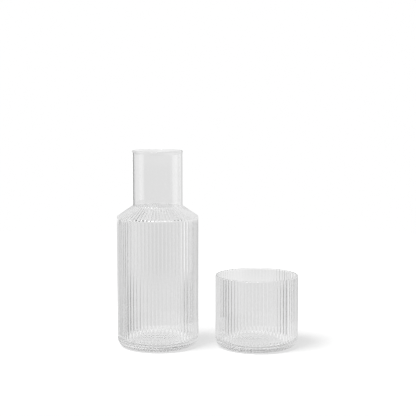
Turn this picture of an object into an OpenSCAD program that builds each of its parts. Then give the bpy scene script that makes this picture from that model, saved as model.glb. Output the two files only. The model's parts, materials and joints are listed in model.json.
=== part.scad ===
// Bedside carafe with a tumbler, two vessels of clear ribbed glass.
// The carafe stands on the origin with its mouth up, and the tumbler stands beside it on the same table.
// Turned over, the tumbler passes over the neck, lands on the sloping shoulder and closes the carafe.
// Lengths are in millimetres. +Z is up, and +X runs from the carafe to the tumbler.

/* [Carafe body] */
// Diameter over the ribs
body_d = 84; // [76:0.5:96]
// Height of the upright side, from the table to the edge of the shoulder
body_h = 134.5; // [110:0.5:160]
// Thickness of the side where a rib is highest
body_wall = 2.2; // [1.8:0.1:2.8]
// Thickness of the base
body_base_t = 5.6; // [4.4:0.1:7]
// Radius of the heel, where the side turns under the base
body_heel_r = 8; // [6.4:0.1:10]
// Number of ribs
body_ribs = 68; // [52:1:84]

/* [Carafe shoulder and neck] */
// Rise of the sloping shoulder, from the side to the neck
shoulder_rise = 11.1; // [9:0.1:13.4]
// Radius of the rounded edge between the side and the shoulder
shoulder_edge_r = 2; // [1.6:0.1:2.6]
// Outer diameter of the neck
neck_d = 51.6; // [43:0.2:60]
// Height of the neck above the shoulder
neck_h = 56.5; // [46:0.5:68]
// Thickness of the neck's wall
neck_wall = 1.8; // [1.4:0.1:2.2]
// Radius of the hollow curve between the shoulder and the neck
neck_root_r = 1.5; // [1.2:0.1:2]
// How far the mouth opens out on each side
mouth_flare = 0.3; // [0.2:0.05:0.5]
// Height of the part of the neck that opens out
mouth_flare_h = 5; // [4:0.5:7]

/* [Tumbler] */
// How far its side stands outside the carafe's side, when it is set on as a lid
tumbler_overhang = 0.65; // [0.4:0.05:1]
// Room between its floor and the carafe's mouth, when it is set on as a lid
tumbler_headroom = 2.3; // [1.6:0.1:4]
// Thickness of the side where a rib is highest
tumbler_wall = 2; // [1.6:0.1:2.6]
// Thickness of the base
tumbler_base_t = 5; // [4:0.1:6.2]
// Radius of the heel, where the side turns under the base
tumbler_heel_r = 8; // [6.4:0.1:10]
// Number of ribs
tumbler_ribs = 72; // [56:1:90]

/* [Ribs and feet] */
// Depth of the grooves between the ribs
rib_depth = 0.5; // [0.4:0.05:0.7]
// Width of the flat ring that each vessel stands on
foot_w = 5; // [4:0.5:7]
// Depth of the hollow inside that ring
punt_depth = 1; // [0.8:0.1:1.4]

/* [Place beside each other] */
// Gap between the sides of the two vessels
stand_gap = 17.6; // [10:0.2:40]
// How far the tumbler stands in front of the carafe
stand_forward = 3.4; // [0:0.2:10]

/* [Hidden] */
$fn = 120;

// How far a cut runs past the face that it opens
overrun = 1;
// Depth of the groove at equal steps along one rib, from the bottom of one groove to the next
groove_shares = [1, 0.25, 0, 0.25];
// Depth of the grooves where the shoulder reaches the neck
shoulder_top_share = 0.6;
// Radius of the round on each edge of a rim, of the wall there
rim_round_share = 0.4;
// Slope at which the outer round of the tumbler's rim leaves its ribs, in degrees from upright
rim_start = 20;
// Straight steps that stand for a quarter turn of a heel, and for the smaller curves
heel_steps = 4;
edge_steps = 2;
smooth_steps = 6;

body_r = body_d / 2;
body_inner_r = body_r - body_wall;
neck_r = neck_d / 2;
neck_inner_r = neck_r - neck_wall;
shoulder_slope = atan2(shoulder_rise, body_r - neck_r);
shoulder_facing = 90 - shoulder_slope;
mouth_z = body_h + shoulder_rise + neck_h;
mouth_flare_z = mouth_z - mouth_flare_h;
neck_rim_r = neck_wall * rim_round_share;

tumbler_r = body_r + tumbler_overhang;
tumbler_inner_r = tumbler_r - tumbler_wall;
tumbler_rim_r = tumbler_wall * rim_round_share;
// Height on the carafe's shoulder where the rim of the turned tumbler lands
lid_seat_z = shoulder_z(tumbler_inner_r);
tumbler_h = mouth_z - lid_seat_z + tumbler_headroom + tumbler_base_t;
tumbler_x = body_r + stand_gap + tumbler_r;

// Height of the shoulder's slope at a radius
function shoulder_z(r) = body_h + (body_r - r) * tan(shoulder_slope);

// Points of an arc in the plane of radius and height, each with the angle that it faces
function arc(centre, r, from, to, steps) =
    [for (i = [0:steps])
        let (a = from + (to - from) * i / steps)
        [centre.x + r * cos(a), centre.y + r * sin(a), a]];

// The radius and height of each point, for a profile
function profile(points) = [for (p = points) [p.x, p.y]];

// Stations of a ribbed skin, as [radius, height, facing, depth of the grooves]
function stations(points, depth) = [for (p = points) [p.x, p.y, p.z, depth]];

// The heel's stations. The grooves run out where the heel meets the foot.
function heel_stations(r, heel_r) =
    let (points = arc([r - heel_r, heel_r], heel_r, -90, 0, heel_steps))
    [for (i = [0:heel_steps])
        [points[i].x, points[i].y, points[i].z, i == 0 ? 0 : rib_depth]];

// The rounded edge of the shoulder, and its slope as far as the middle of the neck's wall
function shoulder_stations() =
    let (tangent = shoulder_edge_r * tan(shoulder_facing / 2),
         edge = arc([body_r - shoulder_edge_r, body_h - tangent], shoulder_edge_r,
                    0, shoulder_facing, edge_steps),
         top_r = neck_r - neck_wall / 2)
    concat(stations(edge, rib_depth),
           [[top_r, shoulder_z(top_r), shoulder_facing, rib_depth * shoulder_top_share]]);

// One ring of points of a ribbed skin
function ring(station, ribs) =
    let (steps = len(groove_shares), count = ribs * steps)
    [for (i = [0:count - 1])
        let (cut = station[3] * groove_shares[i % steps],
             r = station.x - cut * cos(station.z),
             turn = 360 * i / count)
        [r * cos(turn), r * sin(turn), station.y - cut * sin(station.z)]];

// Inside of a vessel from the middle of its floor to its straight wall
function floor_profile(wall_r, floor_z, corner_r) =
    concat([[0, floor_z]],
           profile(arc([wall_r - corner_r, floor_z + corner_r], corner_r, -90, 0, smooth_steps)));

// Solid body whose skin is ribbed, closed flat at both ends
module ribbed_skin(stations, ribs) {
    count = ribs * len(groove_shares);
    last = len(stations) - 1;
    points = [for (s = stations) each ring(s, ribs)];
    bottom = [for (i = [0:count - 1]) i];
    sides = [for (k = [0:last - 1], i = [0:count - 1])
        let (next = (i + 1) % count)
        [k * count + i, (k + 1) * count + i, (k + 1) * count + next, k * count + next]];
    top = [for (i = [count - 1:-1:0]) last * count + i];
    polyhedron(points, concat([bottom], sides, [top]));
}

// Shallow hollow under a base, domed, so that the vessel stands on a ring
module punt(r) {
    rotate_extrude()
        polygon(concat([[0, -overrun], [r, -overrun]],
                       [for (i = [smooth_steps:-1:0])
                           let (share = i / smooth_steps)
                           [r * share, punt_depth * (1 - share * share)]]));
}

// Solid neck with its root and its rounded mouth, from inside the body up
module neck_blank() {
    groove = rib_depth * shoulder_top_share / 2;
    root_z = shoulder_z(neck_r) - groove / cos(shoulder_slope);
    tangent = neck_root_r * tan(shoulder_facing / 2);
    root = arc([neck_r + neck_root_r, root_z + tangent], neck_root_r,
               180 + shoulder_facing, 180, smooth_steps);
    lip = arc([neck_r + mouth_flare - neck_rim_r, mouth_z - neck_rim_r], neck_rim_r,
              0, 90, smooth_steps);
    rotate_extrude()
        polygon(concat([[0, body_h - body_wall], [root[0].x, body_h - body_wall]],
                       profile(root),
                       [[neck_r, mouth_flare_z]],
                       profile(lip),
                       [[0, mouth_z]]));
}

// Inside of the carafe, from its floor out through the mouth
module carafe_cavity() {
    drop = body_wall / cos(shoulder_slope);
    lip_r = neck_inner_r + mouth_flare;
    lip = arc([lip_r + neck_rim_r, mouth_z - neck_rim_r], neck_rim_r, 180, 90, smooth_steps);
    rotate_extrude()
        polygon(concat(floor_profile(body_inner_r, body_base_t, body_heel_r - body_wall),
                       [[body_inner_r, shoulder_z(body_inner_r) - drop],
                        [neck_inner_r, shoulder_z(neck_inner_r) - drop],
                        [neck_inner_r, mouth_flare_z]],
                       profile(lip),
                       [[lip_r + neck_rim_r, mouth_z + overrun], [0, mouth_z + overrun]]));
}

// Inside of the tumbler with all that lies above its rim, which leaves the rim round on both edges
module tumbler_cavity() {
    inner_round = arc([tumbler_inner_r + tumbler_rim_r, tumbler_h - tumbler_rim_r], tumbler_rim_r,
                      180, 90, smooth_steps);
    outer_round = arc([tumbler_r - tumbler_rim_r, tumbler_h - tumbler_rim_r], tumbler_rim_r,
                      90, rim_start, smooth_steps);
    clear_r = tumbler_r + overrun;
    clear_z = tumbler_h + 2 * overrun;
    start = outer_round[smooth_steps];
    rotate_extrude()
        polygon(concat(floor_profile(tumbler_inner_r, tumbler_base_t, tumbler_heel_r - tumbler_wall),
                       profile(inner_round),
                       profile(outer_round),
                       [[clear_r, start.y - (clear_r - start.x) / tan(rim_start)],
                        [clear_r, clear_z],
                        [0, clear_z]]));
}

module carafe() {
    color("gainsboro", 0.6)
        difference() {
            union() {
                ribbed_skin(concat(heel_stations(body_r, body_heel_r), shoulder_stations()),
                            body_ribs);
                neck_blank();
            }
            carafe_cavity();
            punt(body_r - body_heel_r - foot_w);
        }
}

module tumbler() {
    color("gainsboro", 0.6)
        translate([tumbler_x, -stand_forward, 0])
            difference() {
                ribbed_skin(concat(heel_stations(tumbler_r, tumbler_heel_r),
                                   [[tumbler_r, tumbler_h + overrun, 0, rib_depth]]),
                            tumbler_ribs);
                tumbler_cavity();
                punt(tumbler_r - tumbler_heel_r - foot_w);
            }
}

carafe();
tumbler();
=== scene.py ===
import json
import math

import bpy
import numpy as np
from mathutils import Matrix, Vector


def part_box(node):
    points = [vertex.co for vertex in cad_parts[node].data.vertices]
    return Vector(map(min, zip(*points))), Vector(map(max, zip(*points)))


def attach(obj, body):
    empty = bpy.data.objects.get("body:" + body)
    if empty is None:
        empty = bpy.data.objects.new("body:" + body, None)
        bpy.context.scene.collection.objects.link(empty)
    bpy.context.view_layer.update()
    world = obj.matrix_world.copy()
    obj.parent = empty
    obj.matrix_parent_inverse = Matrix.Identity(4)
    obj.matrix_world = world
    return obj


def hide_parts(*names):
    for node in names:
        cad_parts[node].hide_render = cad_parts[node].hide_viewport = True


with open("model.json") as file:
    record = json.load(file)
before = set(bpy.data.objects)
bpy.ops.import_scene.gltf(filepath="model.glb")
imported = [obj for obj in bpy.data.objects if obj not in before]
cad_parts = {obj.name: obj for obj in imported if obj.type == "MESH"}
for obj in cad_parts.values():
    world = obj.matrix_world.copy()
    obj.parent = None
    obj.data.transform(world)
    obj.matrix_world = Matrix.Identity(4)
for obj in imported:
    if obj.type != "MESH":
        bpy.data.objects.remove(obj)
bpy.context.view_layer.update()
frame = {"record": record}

# Sizes are in millimetres and angles in degrees, up to where a mesh, a light or the camera is made.
MM = 0.001

# Ribs, the same in number and depth as on the solids
BODY_RIBS = 68
TUMBLER_RIBS = 72
RIB_DEPTH = 0.5
# Depth of the grooves at the top of the shoulder, as a share of their depth on the body
SHOULDER_TOP_SHARE = 0.6
# How far each vessel is turned, as a share of one rib
BODY_TURN = 0.1
TUMBLER_TURN = -0.25

# Carafe
BODY_H = 134.5
BODY_WALL = 2.2
BODY_BASE = 5.6
SHOULDER_RISE = 11.1
SHOULDER_EDGE_R = 2
# Radius of the same edge on the inside
INNER_EDGE_R = 1.2
NECK_WALL = 1.8
NECK_ROOT_R = 1.5
MOUTH_FLARE = 0.3
MOUTH_FLARE_H = 5

# Tumbler
TUMBLER_WALL = 2
TUMBLER_BASE = 5

# Heels and feet, the same on both vessels
HEEL_R = 8
FOOT_W = 5
PUNT_DEPTH = 1

# Radius of the round on each edge of a rim, as a share of the wall and worked out for both vessels
RIM_ROUND_SHARE = 0.4
LIP_R = NECK_WALL * RIM_ROUND_SHARE
RIM_R = TUMBLER_WALL * RIM_ROUND_SHARE

# Points round a vessel for each rib, outside and inside. The rim's stitch needs four outside to one inside.
OUTER_STEPS = 16
INNER_STEPS = 4
# Steps along the heels, the corners round the inner floors and the smaller bends
HEEL_STEPS = 16
CORNER_STEPS = 12
BEND_STEPS = 6
INNER_EDGE_STEPS = 4
# Steps of the heel over which the grooves run in from the foot
GROOVE_START_STEPS = 5
# Rings of points on the hollows under the bases, on the shoulder's slope and down the inner walls
PUNT_RINGS = 8
SLOPE_RINGS = 5
NECK_RINGS = 8
BODY_RINGS = 22
TUMBLER_RINGS = 14
# Where rings lie: in the hollows from this share of the radius out, on the mouth's flare and on the floors
PUNT_FIRST_SHARE = 0.12
FLARE_SHARES = (0.0, 0.25, 0.5, 0.75)
FLOOR_SHARES = (0.98, 0.8, 0.6, 0.4, 0.2)
# How far the first and last rings of a part stay off the bends beside it
FOOT_MARGIN = 0.4
WALL_MARGIN = 0.6
INNER_MARGIN = 0.8
SLOPE_EDGE_MARGIN = 0.5
SLOPE_ROOT_MARGIN = 0.3
NECK_TOP_MARGIN = 6


def arc(centre_r, centre_z, radius, start, end, steps):
    """Points [radius, height, facing] along an arc in the plane of radius and height."""
    angles = np.linspace(start, end, steps + 1)
    return [
        (centre_r + radius * math.cos(math.radians(a)), centre_z + radius * math.sin(math.radians(a)), a)
        for a in angles
    ]


def tangent(radius, turn):
    """Distance from the corner of two straight lines to the start of the bend between them."""
    return radius * math.tan(math.radians(turn / 2))


def with_depth(points, depths):
    """Stations [radius, height, facing, groove depth] from an arc's points and the depth at each."""
    return [(r, z, a, d) for (r, z, a), d in zip(points, depths)]


def without_facing(points):
    """The radius and height of each of an arc's points."""
    return [(r, z) for r, z, _ in points]


def smooth_step(x):
    """0 below 0, 1 above 1 and a smooth rise between them."""
    x = min(max(x, 0.0), 1.0)
    return x * x * (3 - 2 * x)


def foot_stations(side_r):
    """The domed hollow under the base and the flat ring round it, from the middle outward."""
    ring_inner = side_r - HEEL_R - FOOT_W
    shares = np.linspace(PUNT_FIRST_SHARE, 1, PUNT_RINGS)
    dome = [(ring_inner * s, PUNT_DEPTH * (1 - s * s), -90, 0.0) for s in shares]
    ring = [(r, 0, -90, 0.0) for r in (ring_inner + FOOT_MARGIN, ring_inner + FOOT_W - FOOT_MARGIN)]
    return dome + ring


def heel_stations(side_r):
    """The rounded heel, where the grooves run in from the foot."""
    points = arc(side_r - HEEL_R, HEEL_R, HEEL_R, -90, 0, HEEL_STEPS)
    depths = [RIB_DEPTH * smooth_step(i / GROOVE_START_STEPS) for i in range(HEEL_STEPS + 1)]
    return with_depth(points, depths)


def shoulder_angles(body_r, neck_r):
    """The shoulder's slope in radians, and the way that its skin faces in degrees above level."""
    slope = math.atan2(SHOULDER_RISE, body_r - neck_r)
    return slope, 90 - math.degrees(slope)


def shoulder_z(r, body_r, slope):
    """Height of the shoulder's slope at a radius."""
    return BODY_H + (body_r - r) * math.tan(slope)


def flare(start_r, mouth_z, shares):
    """Points where the neck opens out, at shares of the way up to its lip."""
    start_z = mouth_z - MOUTH_FLARE_H
    return [(start_r + MOUTH_FLARE * s * s, start_z + (mouth_z - LIP_R - start_z) * s) for s in shares]


def carafe_outer(body_r, neck_r, mouth_z):
    """Stations of the carafe's outside, from under the base to the top of the lip."""
    slope, facing = shoulder_angles(body_r, neck_r)
    side_z = BODY_H - tangent(SHOULDER_EDGE_R, facing)
    wall = [(body_r, z, 0, RIB_DEPTH) for z in (HEEL_R + WALL_MARGIN, side_z - WALL_MARGIN)]
    edge = arc(body_r - SHOULDER_EDGE_R, side_z, SHOULDER_EDGE_R, 0, facing, BEND_STEPS)
    root_z = shoulder_z(neck_r, body_r, slope) + tangent(NECK_ROOT_R, facing)
    root = arc(neck_r + NECK_ROOT_R, root_z, NECK_ROOT_R, 180 + facing, 180, BEND_STEPS)
    root = [(r, z, a - 180) for r, z, a in root]
    root_fade = [RIB_DEPTH * SHOULDER_TOP_SHARE * (1 - i / BEND_STEPS) for i in range(BEND_STEPS + 1)]
    slope_from = edge[-1][0] - SLOPE_EDGE_MARGIN
    slope_to = root[0][0] + SLOPE_ROOT_MARGIN
    slope_stations = []
    for s in np.linspace(0, 1, SLOPE_RINGS):
        r = slope_from + (slope_to - slope_from) * s
        depth = RIB_DEPTH * (1 - (1 - SHOULDER_TOP_SHARE) * s)
        slope_stations.append((r, shoulder_z(r, body_r, slope), facing, depth))
    lip = arc(neck_r + MOUTH_FLARE - LIP_R, mouth_z - LIP_R, LIP_R, 0, 90, BEND_STEPS)
    return (
        foot_stations(body_r)
        + heel_stations(body_r)
        + wall
        + with_depth(edge, [RIB_DEPTH] * len(edge))
        + slope_stations
        + with_depth(root, root_fade)
        + [(neck_r, root[-1][1] + WALL_MARGIN, 0, 0.0)]
        + [(r, z, 0, 0.0) for r, z in flare(neck_r, mouth_z, FLARE_SHARES)]
        + with_depth(lip, [0.0] * len(lip))
    )


def inner_base(inner_r, corner_r, floor_z, top_z, rings):
    """Points down a straight inner wall from below top_z, round the corner under it and over the floor."""
    corner = arc(inner_r - corner_r, floor_z + corner_r, corner_r, 0, -90, CORNER_STEPS)
    heights = np.linspace(top_z - INNER_MARGIN, corner[0][1] + INNER_MARGIN, rings)
    floor = [((inner_r - corner_r) * s, floor_z) for s in FLOOR_SHARES]
    return [(inner_r, z) for z in heights] + without_facing(corner) + floor


def carafe_inner(body_r, neck_r, mouth_z):
    """Points of the carafe's inside, from the lip down to the floor."""
    slope, facing = shoulder_angles(body_r, neck_r)
    drop = BODY_WALL / math.cos(slope)
    inner_r = body_r - BODY_WALL
    bore_r = neck_r - NECK_WALL
    lip = arc(bore_r + MOUTH_FLARE + LIP_R, mouth_z - LIP_R, LIP_R, 90, 180, BEND_STEPS)
    root_r = NECK_ROOT_R + BODY_WALL
    root_z = shoulder_z(bore_r, body_r, slope) - drop + tangent(root_r, facing)
    root = arc(bore_r + root_r, root_z, root_r, 180, 180 + facing, BEND_STEPS)
    edge_z = shoulder_z(inner_r, body_r, slope) - drop - tangent(INNER_EDGE_R, facing)
    edge = arc(inner_r - INNER_EDGE_R, edge_z, INNER_EDGE_R, facing, 0, INNER_EDGE_STEPS)
    neck_top_z = mouth_z - MOUTH_FLARE_H - NECK_TOP_MARGIN
    neck = [(bore_r, z) for z in np.linspace(neck_top_z, root[0][1] + INNER_MARGIN, NECK_RINGS)]
    return (
        without_facing(lip)
        + flare(bore_r, mouth_z, FLARE_SHARES[::-1])
        + neck
        + without_facing(root)
        + without_facing(edge)
        + inner_base(inner_r, HEEL_R - BODY_WALL, BODY_BASE, edge[-1][1], BODY_RINGS)
    )


def tumbler_outer(side_r, rim_z):
    """Stations of the tumbler's outside, from under the base to the top of the rim."""
    rim = arc(side_r - RIM_R, rim_z - RIM_R, RIM_R, 0, 90, BEND_STEPS)
    wall = [(side_r, z, 0, RIB_DEPTH) for z in (HEEL_R + WALL_MARGIN, rim_z - RIM_R - WALL_MARGIN)]
    fade = [RIB_DEPTH * (1 - smooth_step(i / BEND_STEPS)) for i in range(BEND_STEPS + 1)]
    return foot_stations(side_r) + heel_stations(side_r) + wall + with_depth(rim, fade)


def tumbler_inner(side_r, rim_z):
    """Points of the tumbler's inside, from the rim down to the floor."""
    inner_r = side_r - TUMBLER_WALL
    rim = arc(inner_r + RIM_R, rim_z - RIM_R, RIM_R, 90, 180, BEND_STEPS)
    base = inner_base(inner_r, HEEL_R - TUMBLER_WALL, TUMBLER_BASE, rim[-1][1], TUMBLER_RINGS)
    return without_facing(rim) + base


def groove(turns, ribs, turned):
    """How deep the skin is cut at each share of a turn: 1 in the middle of a groove, 0 on a rib's crest."""
    t = (turns * ribs + turned) % 1 - 0.5
    return 4 * t * t


def outer_rings(stations, ribs, turned):
    """The points round each station of an outside, cut by the grooves."""
    turns = np.arange(ribs * OUTER_STEPS) / (ribs * OUTER_STEPS)
    cut = groove(turns, ribs, turned)
    turn = 2 * np.pi * turns
    rings = []
    for r, z, facing, depth in stations:
        a = math.radians(facing)
        ring_r = r - depth * cut * math.cos(a)
        ring_z = z - depth * cut * math.sin(a)
        rings.append(np.stack([ring_r * np.cos(turn), ring_r * np.sin(turn), ring_z], axis=1))
    return rings


def inner_rings(points, ribs):
    """The points round an inside, which is smooth, at each radius and height."""
    turns = np.arange(ribs * INNER_STEPS) / (ribs * INNER_STEPS)
    turn = 2 * np.pi * turns
    return [
        np.stack([r * np.cos(turn), r * np.sin(turn), np.full(len(turn), z)], axis=1)
        for r, z in points
    ]


def strip(lower, upper, count):
    """Quads between two rings of count points, whose first points are numbered lower and upper."""
    i = np.arange(count)
    j = (i + 1) % count
    return np.stack([lower + i, lower + j, upper + j, upper + i], axis=1).tolist()


def cap(middle, first, count, up):
    """Triangles between a ring and the point in its middle."""
    i = np.arange(count)
    j = (i + 1) % count
    ends = [first + i, first + j] if up else [first + j, first + i]
    return np.stack([np.full(count, middle), *ends], axis=1).tolist()


def stitch(outer, inner, inner_count):
    """Triangles between a ring and an inner one that has a quarter of its points."""
    faces = []
    for j in range(inner_count):
        a, b = inner + j, inner + (j + 1) % inner_count
        o = [outer + (4 * j + k) % (4 * inner_count) for k in range(5)]
        faces += [(o[0], o[1], a), (o[1], o[2], a), (a, o[2], b), (o[2], o[3], b), (o[3], o[4], b)]
    return faces


def vessel(name, stations, inside, ribs, turned, place):
    """A vessel as one closed mesh. place is its centre on the table, in metres."""
    outer_count, inner_count = ribs * OUTER_STEPS, ribs * INNER_STEPS
    outer, inner = outer_rings(stations, ribs, turned), inner_rings(inside, ribs)
    points = np.concatenate([[[0, 0, PUNT_DEPTH]], *outer, *inner, [[0, 0, inside[-1][1]]]]) * MM
    points += np.array([place[0], place[1], 0])
    faces = cap(0, 1, outer_count, up=False)
    start = 1
    for _ in outer[1:]:
        faces += strip(start, start + outer_count, outer_count)
        start += outer_count
    inner_start = start + outer_count
    faces += stitch(start, inner_start, inner_count)
    start = inner_start
    for _ in inner[1:]:
        faces += strip(start, start + inner_count, inner_count)
        start += inner_count
    faces += cap(len(points) - 1, start, inner_count, up=True)
    mesh = bpy.data.meshes.new(name)
    mesh.from_pydata(points.tolist(), [], faces)
    mesh.validate()
    mesh.polygons.foreach_set("use_smooth", [True] * len(mesh.polygons))
    piece = bpy.data.objects.new(name, mesh)
    bpy.context.scene.collection.objects.link(piece)
    return piece


# The glass, and the slight waves that a mould leaves in its skin
GLASS_IOR = 1.5
WAVE_SCALE = 45
WAVE_DETAIL = 1
WAVE_STRENGTH = 0.02
# In metres
WAVE_HEIGHT = 0.0005


def glass(name):
    """Clear glass, a little wavy, as blown into a mould."""
    material = bpy.data.materials.new(name)
    material.use_nodes = True
    nodes, links = material.node_tree.nodes, material.node_tree.links
    shader = nodes["Principled BSDF"]
    shader.inputs["Base Color"].default_value = (1, 1, 1, 1)
    shader.inputs["Transmission Weight"].default_value = 1
    shader.inputs["IOR"].default_value = GLASS_IOR
    shader.inputs["Roughness"].default_value = 0
    coordinates = nodes.new("ShaderNodeTexCoord")
    waves = nodes.new("ShaderNodeTexNoise")
    waves.inputs["Scale"].default_value = WAVE_SCALE
    waves.inputs["Detail"].default_value = WAVE_DETAIL
    bump = nodes.new("ShaderNodeBump")
    bump.inputs["Strength"].default_value = WAVE_STRENGTH
    bump.inputs["Distance"].default_value = WAVE_HEIGHT
    links.new(coordinates.outputs["Object"], waves.inputs["Vector"])
    links.new(waves.outputs["Fac"], bump.inputs["Height"])
    links.new(bump.outputs["Normal"], shader.inputs["Normal"])
    return material


def crest_radius(node, ribs):
    """Radius over a solid's ribs. A groove lies on its X axis, so the crests beside it set the width."""
    low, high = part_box(node)
    return (high.x - low.x) / 2 / MM / math.cos(math.pi / ribs)


def make_carafe():
    body_r = crest_radius("carafe", BODY_RIBS)
    bore = next(m for m in frame["record"]["mounts"] if m["name"] == "mouth")
    neck_r = bore["dims"]["r_mm"] + NECK_WALL
    mouth_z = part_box("carafe")[1].z / MM
    piece = vessel(
        "carafe_blown",
        carafe_outer(body_r, neck_r, mouth_z),
        carafe_inner(body_r, neck_r, mouth_z),
        BODY_RIBS,
        BODY_TURN,
        (0, 0),
    )
    piece.data.materials.append(glass("carafe_glass"))
    # Clear vessels that diffuse rays meet would darken the floor all round them
    piece.visible_diffuse = False
    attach(piece, "carafe")
    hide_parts("carafe")


def make_tumbler():
    side_r = crest_radius("tumbler", TUMBLER_RIBS)
    low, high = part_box("tumbler")
    centre = ((low.x + high.x) / 2, (low.y + high.y) / 2)
    rim_z = high.z / MM
    piece = vessel(
        "tumbler_blown",
        tumbler_outer(side_r, rim_z),
        tumbler_inner(side_r, rim_z),
        TUMBLER_RIBS,
        TUMBLER_TURN,
        centre,
    )
    piece.data.materials.append(glass("tumbler_glass"))
    piece.visible_diffuse = False
    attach(piece, "tumbler")
    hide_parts("tumbler")


# Camera, fitted to the outlines of both vessels
CAMERA_AT = (51.9, -1077.1, 259.4)
CAMERA_DOWN = 6.176
CAMERA_LENS = 91.1
SENSOR_WIDTH = 36
# Nearest distance that the camera sees
CLIP_START = 50


def make_camera():
    camera = bpy.data.cameras.new("camera")
    camera.lens = CAMERA_LENS
    camera.sensor_width = SENSOR_WIDTH
    camera.clip_start = CLIP_START * MM
    holder = bpy.data.objects.new("camera", camera)
    holder.location = [v * MM for v in CAMERA_AT]
    holder.rotation_euler = (math.radians(90 - CAMERA_DOWN), 0, 0)
    bpy.context.scene.collection.objects.link(holder)
    bpy.context.scene.camera = holder


def math_node(tree, operation, a, b=None, c=None):
    """The result of a sum on numbers or on other nodes' results."""
    node = tree.nodes.new("ShaderNodeMath")
    node.operation = operation
    for socket, value in zip(node.inputs, (a, b, c)):
        if value is None:
            continue
        if isinstance(value, (int, float)):
            socket.default_value = value
        else:
            tree.links.new(value, socket)
    return node.outputs[0]


def rise(tree, value, at, soft):
    """0 below at and 1 above it, over a soft edge."""
    node = tree.nodes.new("ShaderNodeMapRange")
    node.interpolation_type = "SMOOTHSTEP"
    tree.links.new(value, node.inputs["Value"])
    node.inputs["From Min"].default_value = at - soft
    node.inputs["From Max"].default_value = at + soft
    return node.outputs["Result"]


def between(tree, value, low, high, soft):
    """1 from low to high and 0 on either side, over soft edges."""
    return math_node(tree, "SUBTRACT", rise(tree, value, low, soft), rise(tree, value, high, soft))


def mix(tree, factor, a, b):
    """a where factor is 0 and b where it is 1."""
    node = tree.nodes.new("ShaderNodeMix")
    for name, value in (("Factor", factor), ("A", a), ("B", b)):
        socket = node.inputs[name]
        if isinstance(value, (int, float)):
            socket.default_value = value
        else:
            tree.links.new(value, socket)
    return node.outputs["Result"]


# The studio round the glass, as levels of grey. A profile is a list of azimuths, each with the level there.
# Azimuth 0 lies beyond the vessels as the camera sees them, and + is to the right.
# What shows straight through the glass, from the floor up to the sky
THROUGH_DOWN = 0.85
THROUGH_BELOW = (
    (-90, 0.85), (-45, 0.85), (-28, 1.2), (-20, 1.2), (-13, 0.75), (11, 0.75), (18, 1.2), (26, 1.2),
    (45, 0.85), (90, 0.85),
)
THROUGH_TABLE = (
    (-90, 0.7), (-30, 0.6), (-20, 0.55), (-13, 0.92), (11, 0.92), (18, 0.55), (28, 0.6), (90, 0.7),
)
THROUGH_LOW = (
    (-90, 0.75), (-60, 0.8), (-50, 0.9), (-44, 0.1), (-31, 0.1), (-25, 0.68), (-12, 0.7), (-5, 0.81),
    (14, 0.77), (22, 0.76), (26, 1.0), (29.5, 1.1), (32, 0.05), (54, 0.05), (64, 0.5), (90, 0.75),
)
THROUGH_BODY = (
    (-90, 0.75), (-60, 0.9), (-52, 0.85), (-44, 0.35), (-36, 0.78), (-12, 0.79), (0, 0.69), (18, 0.69),
    (23, 0.85), (28, 1.5), (38, 1.05), (52, 0.65), (64, 0.65), (90, 0.75),
)
THROUGH_NECK = (
    (-90, 0.75), (-60, 0.7), (-52, 0.5), (-28, 0.5), (-20, 0.75), (10, 0.77), (24, 0.65), (36, 0.75),
    (52, 1.05), (60, 1.1), (90, 0.75),
)
THROUGH_WALL = 0.8
THROUGH_LEDGE = (
    (-90, 0.75), (-50, 0.7), (-44, 0.1), (-20, 0.1), (-14, 1.3), (0, 1.3), (8, 0.9), (15, 0.9), (40, 0.8),
    (90, 0.75),
)
THROUGH_SKY = (
    (-90, 0.75), (-50, 0.7), (-44, 0.1), (0, 0.1), (8, 0.9), (90, 0.75),
)
# What the glass reflects, from the floor up to the highest point
BY_DOWN = 0.6
BY_TABLE = (
    (-180, 1.0), (-120, 0.95), (-90, 0.7), (-45, 0.85), (45, 0.85), (90, 0.5), (120, 0.3), (180, 0.4),
)
BY_LOW = (
    (-180, 0.3), (-150, 0.45), (-120, 0.7), (-95, 0.4), (-78, 0.15), (-60, 0.2), (-40, 0.55), (-15, 0.85),
    (10, 0.6), (60, 0.95), (90, 0.9), (120, 1.05), (150, 0.5), (180, 0.3),
)
BY_BODY = (
    (-180, 0.3), (-150, 0.45), (-120, 0.9), (-95, 0.5), (-78, 0.12), (-60, 0.15), (-42, 0.6), (-15, 0.85),
    (10, 0.55), (60, 0.85), (90, 0.8), (120, 0.95), (150, 0.45), (180, 0.3),
)
BY_NECK = (
    (-180, 0.6), (-128, 0.65), (-118, 0.75), (-116, 1.0), (-92, 1.0), (-90, 0.8), (-62, 0.75), (-52, 0.5),
    (-44, 0.38), (-28, 0.38), (-24, 1.2), (-12, 1.2), (-6, 0.75), (24, 0.65), (52, 1.05), (68, 1.2),
    (78, 1.7), (92, 1.6), (104, 1.1), (106, 0.5), (180, 0.6),
)
BY_WALL = (
    (-180, 1.3), (-120, 1.05), (-60, 0.85), (-25, 0.75), (-18, 0.75), (12, 0.75), (60, 1.1), (90, 1.1),
    (130, 0.7), (180, 0.9),
)
BY_SKY = (
    (-180, 0.6), (-120, 0.85), (-60, 0.9), (-24, 0.8), (-18, 0.1), (8, 0.1), (18, 0.8), (40, 0.9),
    (60, 0.6), (90, 0.35), (130, 0.2), (180, 0.2),
)
OVERHEAD = 0.2
ZENITH = 1.4
# Elevations where one of them gives way to the next, each with half the width of the change
DOWN_EDGE = (-42, 4)
BELOW_EDGE = (-28, 1.5)
TABLE_EDGE = (-14.5, 0.5)
LOW_EDGE = (-10, 0.8)
BODY_EDGE = (-6.9, 0.15)
# The neck's levels end at a height of their own in each of the two sets.
THROUGH_NECK_EDGE = (-3, 1.2)
BY_NECK_EDGE = (-2, 0.5)
LEDGE_EDGE = (6, 1)
WALL_EDGE = (15, 3)
SKY_EDGE = (50, 5)
ZENITH_EDGE = (70, 3)
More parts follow.
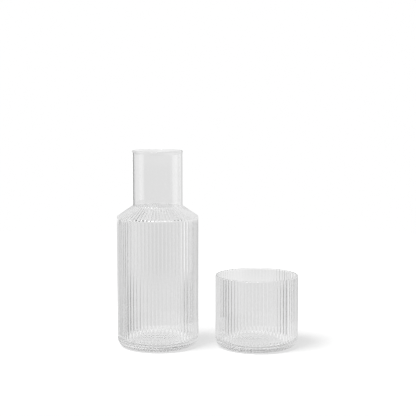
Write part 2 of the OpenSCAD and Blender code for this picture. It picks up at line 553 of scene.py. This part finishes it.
# A profile keeps its levels as colours from 0 to 1, and this is the level that 1 stands for.
PROFILE_TOP = 2
# A long softbox in front on the left, from and to in azimuth and in elevation
SOFTBOX_AZIMUTH = (-180, -112)
SOFTBOX_ELEVATION = (24, 36)
SOFTBOX_SOFT = 0.5
SOFTBOX_LEVEL = 12
# It shows in the first reflections alone, from either face of a wall.
SHALLOW_DEPTH = 3.5
# Through one wall, as above the tumbler's front rim, the studio shows brighter than through two.
ONE_WALL_DEPTH = 3
ONE_WALL_GAIN = 0.12
# The level that lights the floor, and the one that the camera sees beyond the floor
DIFFUSE_LEVEL = 0.74
BACKDROP_LEVEL = 1.0


def profile(tree, share, points):
    """The level at share, which runs from 0 to 1 round the studio, in straight lines between the points."""
    node = tree.nodes.new("ShaderNodeValToRGB")
    ramp = node.color_ramp
    tree.links.new(share, node.inputs["Fac"])
    while len(ramp.elements) < len(points):
        ramp.elements.new(0.5)
    for element, (azimuth, level) in zip(ramp.elements, points):
        element.position = azimuth / 360 + 0.5
        element.color = (level / PROFILE_TOP,) * 3 + (1,)
    return math_node(tree, "MULTIPLY", node.outputs["Color"], PROFILE_TOP)


def make_world():
    """The studio, with levels of their own for straight light, reflected light, the floor and the camera."""
    world = bpy.data.worlds.new("studio")
    bpy.context.scene.world = world
    world.use_nodes = True
    tree = world.node_tree
    background = tree.nodes["Background"]
    background.inputs["Color"].default_value = (1, 1, 1, 1)
    coordinates = tree.nodes.new("ShaderNodeTexCoord")
    split = tree.nodes.new("ShaderNodeSeparateXYZ")
    tree.links.new(coordinates.outputs["Generated"], split.inputs[0])
    azimuth = math_node(tree, "ARCTAN2", split.outputs["X"], split.outputs["Y"])
    share = math_node(tree, "MULTIPLY_ADD", azimuth, 1 / (2 * math.pi), 0.5)
    azimuth = math_node(tree, "MULTIPLY", azimuth, 180 / math.pi)
    elevation = math_node(tree, "ARCSINE", split.outputs["Z"])
    elevation = math_node(tree, "MULTIPLY", elevation, 180 / math.pi)

    def stack(first, *steps):
        """One level or profile above another, each from its edge up."""
        level = first if isinstance(first, float) else profile(tree, share, first)
        for edge, upper in steps:
            if not isinstance(upper, float):
                upper = profile(tree, share, upper)
            level = mix(tree, rise(tree, elevation, *edge), level, upper)
        return level

    through = stack(
        THROUGH_DOWN,
        (DOWN_EDGE, THROUGH_BELOW),
        (BELOW_EDGE, THROUGH_TABLE),
        (TABLE_EDGE, THROUGH_LOW),
        (LOW_EDGE, THROUGH_BODY),
        (BODY_EDGE, THROUGH_NECK),
        (THROUGH_NECK_EDGE, THROUGH_WALL),
        (LEDGE_EDGE, THROUGH_LEDGE),
        (WALL_EDGE, THROUGH_SKY),
    )
    reflected = stack(
        BY_DOWN,
        (DOWN_EDGE, BY_TABLE),
        (TABLE_EDGE, BY_LOW),
        (LOW_EDGE, BY_BODY),
        (BODY_EDGE, BY_NECK),
        (BY_NECK_EDGE, BY_WALL),
        (WALL_EDGE, BY_SKY),
        (SKY_EDGE, OVERHEAD),
        (ZENITH_EDGE, ZENITH),
    )
    softbox = math_node(
        tree,
        "MULTIPLY",
        between(tree, azimuth, *SOFTBOX_AZIMUTH, SOFTBOX_SOFT),
        between(tree, elevation, *SOFTBOX_ELEVATION, SOFTBOX_SOFT),
    )
    path = tree.nodes.new("ShaderNodeLightPath")
    shallow = math_node(tree, "LESS_THAN", path.outputs["Ray Depth"], SHALLOW_DEPTH)
    reflected = mix(tree, math_node(tree, "MULTIPLY", softbox, shallow), reflected, SOFTBOX_LEVEL)
    one_wall = math_node(tree, "LESS_THAN", path.outputs["Transmission Depth"], ONE_WALL_DEPTH)
    gain = math_node(tree, "MULTIPLY_ADD", one_wall, ONE_WALL_GAIN, 1)
    through = math_node(tree, "MULTIPLY", through, gain)
    level = mix(tree, math_node(tree, "MINIMUM", path.outputs["Glossy Depth"], 1), through, reflected)
    level = mix(tree, path.outputs["Is Diffuse Ray"], level, DIFFUSE_LEVEL)
    level = mix(tree, path.outputs["Is Camera Ray"], level, BACKDROP_LEVEL)
    tree.links.new(level, background.inputs["Strength"])


# Two opposite corners of the floor, from the camera's left in front to its right behind
FLOOR_FROM = (-700, -240)
FLOOR_TO = (900, 900)
# The floor lies a hair below the feet, so that light can pass between them.
FLOOR_Z = -0.2
FLOOR_LEVEL = 1.0


def make_floor():
    """A pale floor for the camera alone. Light that the glass sends down goes on to the studio's levels."""
    mesh = bpy.data.meshes.new("floor")
    (x0, y0), (x1, y1) = FLOOR_FROM, FLOOR_TO
    corners = [(x0, y0), (x1, y0), (x1, y1), (x0, y1)]
    mesh.from_pydata([(x * MM, y * MM, FLOOR_Z * MM) for x, y in corners], [], [(0, 1, 2, 3)])
    floor = bpy.data.objects.new("floor", mesh)
    bpy.context.scene.collection.objects.link(floor)
    material = bpy.data.materials.new("floor")
    material.use_nodes = True
    tree = material.node_tree
    shader = tree.nodes["Principled BSDF"]
    shader.inputs["Base Color"].default_value = (FLOOR_LEVEL, FLOOR_LEVEL, FLOOR_LEVEL, 1)
    shader.inputs["Roughness"].default_value = 1
    shader.inputs["Specular IOR Level"].default_value = 0
    path = tree.nodes.new("ShaderNodeLightPath")
    unseen = tree.nodes.new("ShaderNodeBsdfTransparent")
    choice = tree.nodes.new("ShaderNodeMixShader")
    tree.links.new(path.outputs["Is Camera Ray"], choice.inputs["Fac"])
    tree.links.new(unseen.outputs["BSDF"], choice.inputs[1])
    tree.links.new(shader.outputs["BSDF"], choice.inputs[2])
    tree.links.new(choice.outputs["Shader"], tree.nodes["Material Output"].inputs["Surface"])
    mesh.materials.append(material)


# The lamp high on the left that casts the shadows, with its power in watts. The glass doesn't show it.
LAMP_AT = (-1032, -625, 2245)
LAMP_AIM = (50, 0, 80)
LAMP_SIZE = 1600
LAMP_POWER = 36


def make_lamp():
    lamp = bpy.data.lights.new("key_left", "AREA")
    lamp.shape = "RECTANGLE"
    lamp.size = LAMP_SIZE * MM
    lamp.size_y = LAMP_SIZE * MM
    lamp.energy = LAMP_POWER
    holder = bpy.data.objects.new("key_left", lamp)
    holder.location = [v * MM for v in LAMP_AT]
    direction = np.array(LAMP_AIM, float) - np.array(LAMP_AT, float)
    flat = math.hypot(direction[0], direction[1])
    holder.rotation_euler = (
        math.pi / 2 + math.atan2(direction[2], flat),
        0,
        math.atan2(direction[1], direction[0]) - math.pi / 2,
    )
    holder.visible_glossy = False
    holder.visible_transmission = False
    bpy.context.scene.collection.objects.link(holder)


make_camera()
make_world()
make_floor()
make_lamp()
make_carafe()
make_tumbler()

# The photograph is crisp, down to single ribs.
FILTER_WIDTH = 1.0
# Light runs along thick glass by many inner reflections, which the default limits would cut off as black.
BOUNCES = 256

scene = bpy.context.scene
scene.view_settings.view_transform = "Standard"
scene.cycles.filter_width = FILTER_WIDTH
# In clear glass the passes that guide the denoiser are as grainy as the light, and would keep its grain.
scene.cycles.denoising_input_passes = "RGB"
scene.cycles.max_bounces = BOUNCES
scene.cycles.glossy_bounces = BOUNCES
scene.cycles.transmission_bounces = BOUNCES
